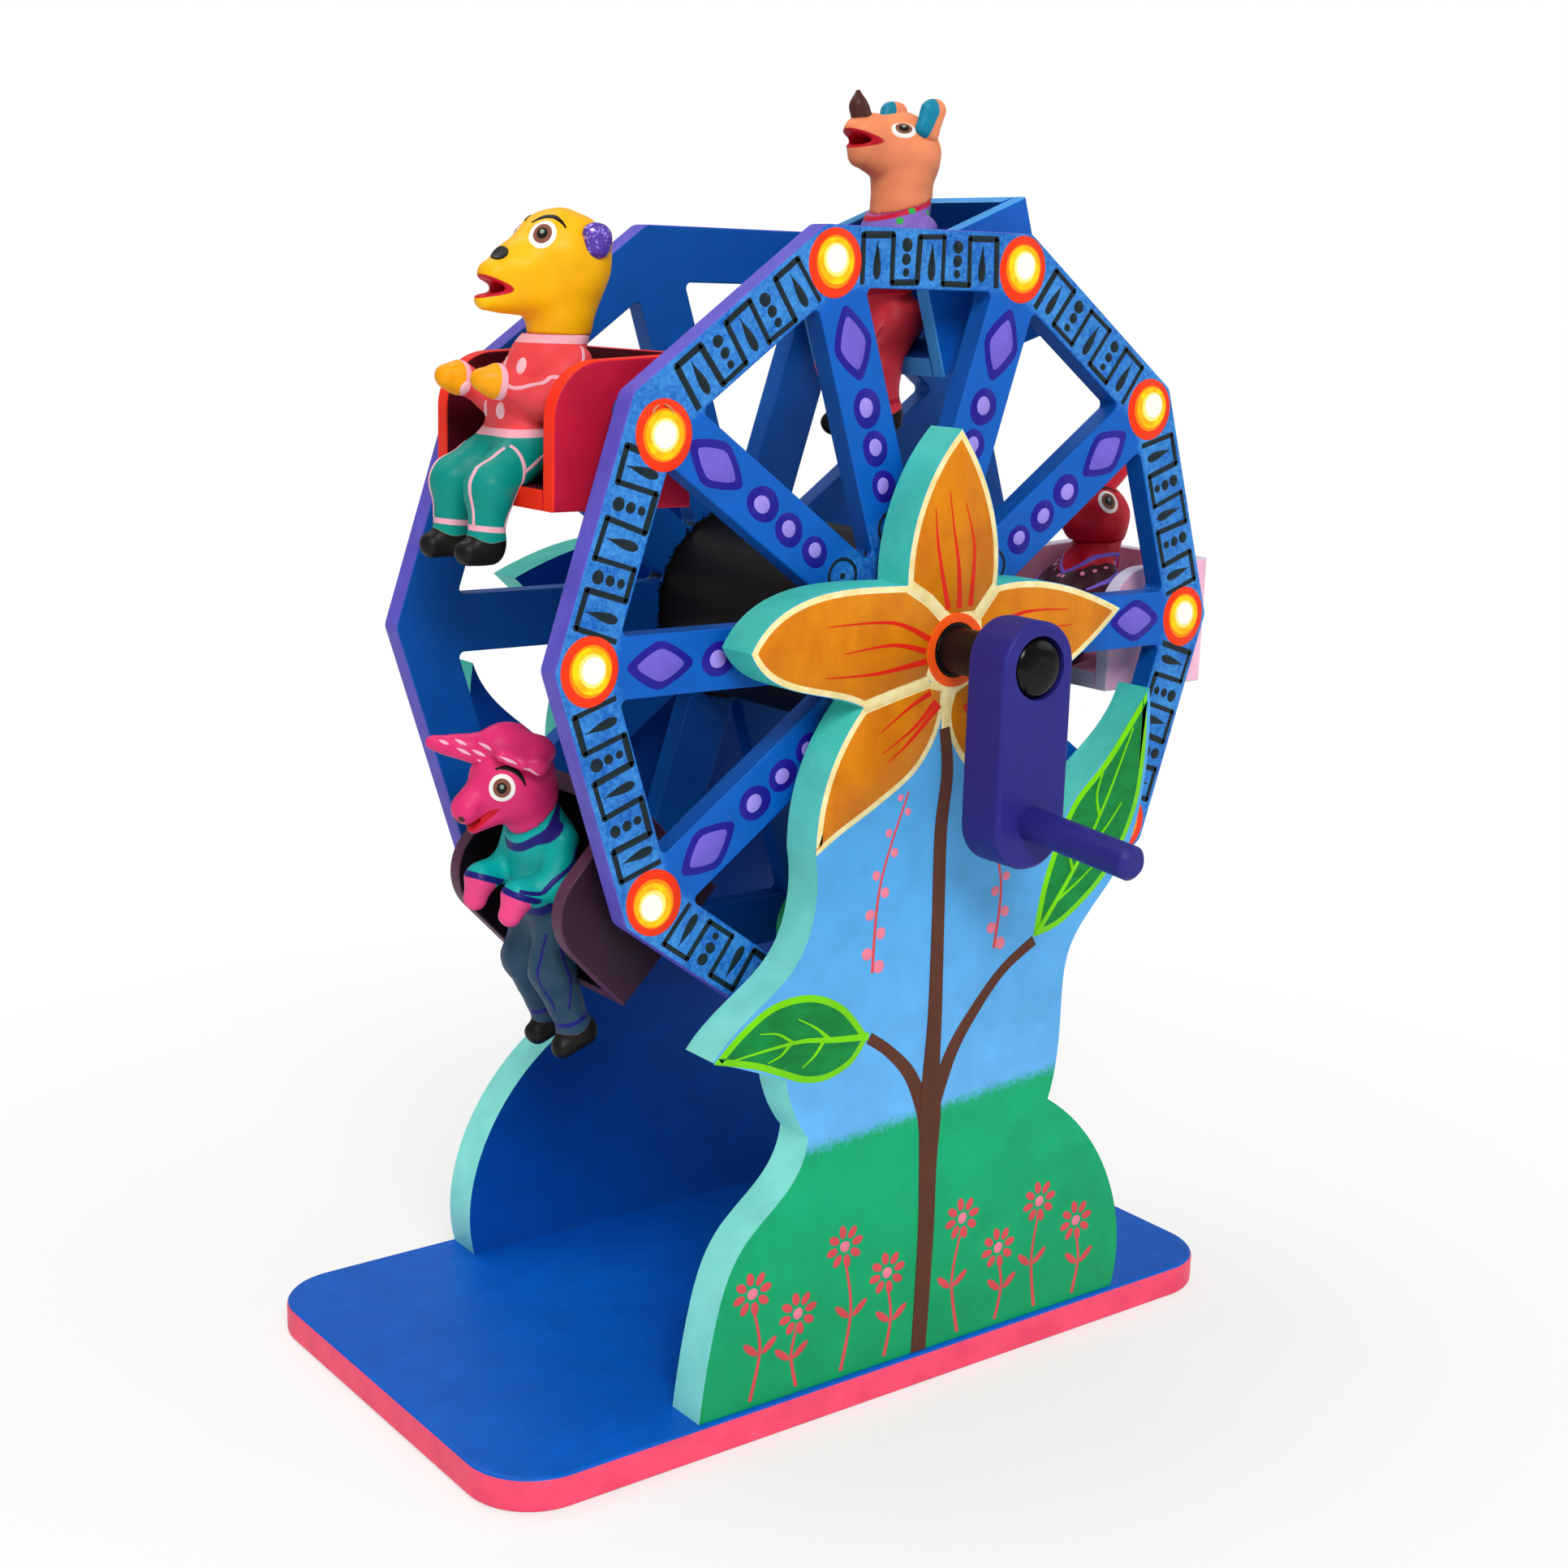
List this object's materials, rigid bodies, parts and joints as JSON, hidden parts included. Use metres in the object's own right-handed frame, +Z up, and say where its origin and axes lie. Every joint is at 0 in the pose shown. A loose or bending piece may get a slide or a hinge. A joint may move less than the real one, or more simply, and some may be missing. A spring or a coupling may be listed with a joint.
{
  "type": "crank ferris wheel toy",
  "caption": "Painted wooden ferris wheel on a flat base between two flower-shaped boards, turned by a side crank, with swinging carts that carry carved animal riders.",
  "frame": {"origin": "centre of the base board's underside, on the surface it stands on", "axes": "+Z up, +X along the base board's length, +Y along the axle towards the back, so the crank is on the -Y side"},
  "size_m": [0.275, 0.2218, 0.3736],
  "materials": {
    "base_paint": "brushed blue paint on wood, satin",
    "panel_paint": "painted wood, satin, with aqua sawn edges",
    "screw_steel": "zinc plated",
    "black_paint": "black paint on turned wood",
    "gloss_black": "gloss black paint on a turned button",
    "crank_paint": "indigo paint on wood, satin",
    "wheel_paint": "sponged blue paint with painted ornament, satin",
    "peg_paint": "blue paint on dowel",
    "red_cart_paint": "satin paint on sawn wood",
    "blue_cart_paint": "satin paint on sawn wood",
    "maroon_cart_paint": "satin paint on sawn wood",
    "pink_cart_paint": "satin paint on sawn wood",
    "green_cart_paint": "satin paint on sawn wood",
    "bear_paint": "satin paint on carved wood",
    "rhino_paint": "satin paint on carved wood",
    "pig_paint": "satin paint on carved wood",
    "bird_paint": "satin paint on carved wood",
    "dog_paint": "satin paint on carved wood",
    "bear_clothes_paint": "satin paint on carved wood",
    "rhino_clothes_paint": "satin paint on carved wood",
    "pig_clothes_paint": "satin paint on carved wood",
    "bird_clothes_paint": "satin paint on carved wood",
    "dog_clothes_paint": "satin paint on carved wood",
    "bear_ear_paint": "metallic violet paint",
    "rhino_horn_paint": "brown paint"
  },
  "bodies": {
    "stand": {"base_board": "base_paint", "front_panel": "panel_paint", "rear_panel": "panel_paint", "panel_screws": "screw_steel"},
    "wheel": {"axle": "black_paint", "axle_button": "gloss_black", "crank_arm": "crank_paint", "crank_peg": "crank_paint", "front_washer": "black_paint", "front_wheel": "wheel_paint", "hub_drum": "black_paint", "rear_wheel": "wheel_paint", "rear_spacer": "black_paint", "rear_collar": "black_paint", "red_pivot_pegs": "peg_paint", "blue_pivot_pegs": "peg_paint", "maroon_pivot_pegs": "peg_paint", "pink_pivot_pegs": "peg_paint", "green_pivot_pegs": "peg_paint"},
    "red_cart": {"red_cart_near_side": "red_cart_paint", "red_cart_far_side": "red_cart_paint", "red_cart_seat": "red_cart_paint", "red_cart_back": "red_cart_paint", "bear_body": "bear_clothes_paint", "bear_head": "bear_paint", "bear_ears": "bear_ear_paint"},
    "blue_cart": {"blue_cart_near_side": "blue_cart_paint", "blue_cart_far_side": "blue_cart_paint", "blue_cart_seat": "blue_cart_paint", "blue_cart_back": "blue_cart_paint", "rhino_body": "rhino_clothes_paint", "rhino_head": "rhino_paint", "rhino_ears": "rhino_paint", "rhino_horn": "rhino_horn_paint"},
    "maroon_cart": {"maroon_cart_near_side": "maroon_cart_paint", "maroon_cart_far_side": "maroon_cart_paint", "maroon_cart_seat": "maroon_cart_paint", "maroon_cart_back": "maroon_cart_paint", "pig_body": "pig_clothes_paint", "pig_head": "pig_paint", "pig_ears": "pig_paint"},
    "pink_cart": {"pink_cart_near_side": "pink_cart_paint", "pink_cart_far_side": "pink_cart_paint", "pink_cart_seat": "pink_cart_paint", "pink_cart_back": "pink_cart_paint", "bird_body": "bird_clothes_paint", "bird_head": "bird_paint", "bird_crest": "bird_paint"},
    "green_cart": {"green_cart_near_side": "green_cart_paint", "green_cart_far_side": "green_cart_paint", "green_cart_seat": "green_cart_paint", "green_cart_back": "green_cart_paint", "dog_body": "dog_clothes_paint", "dog_head": "dog_paint", "dog_ears": "dog_paint"}
  },
  "joints": [
    {"name": "wheel_spin", "type": "hinge", "parent": "stand", "child": "wheel", "pos_m": [0.0087, 0, 0.2174], "axis": [0, 1, 0], "continuous": true},
    {"name": "red_cart_swing", "type": "hinge", "parent": "wheel", "child": "red_cart", "pos_m": [-0.07786, 0, 0.28029], "axis": [0, 1, 0], "continuous": true},
    {"name": "blue_cart_swing", "type": "hinge", "parent": "wheel", "child": "blue_cart", "pos_m": [0.04176, 0, 0.31916], "axis": [0, 1, 0], "continuous": true},
    {"name": "maroon_cart_swing", "type": "hinge", "parent": "wheel", "child": "maroon_cart", "pos_m": [-0.07786, 0, 0.15451], "axis": [0, 1, 0], "continuous": true},
    {"name": "pink_cart_swing", "type": "hinge", "parent": "wheel", "child": "pink_cart", "pos_m": [0.1157, 0, 0.2174], "axis": [0, 1, 0], "continuous": true},
    {"name": "green_cart_swing", "type": "hinge", "parent": "wheel", "child": "green_cart", "pos_m": [0.04176, 0, 0.11564], "axis": [0, 1, 0], "continuous": true}
  ]
}
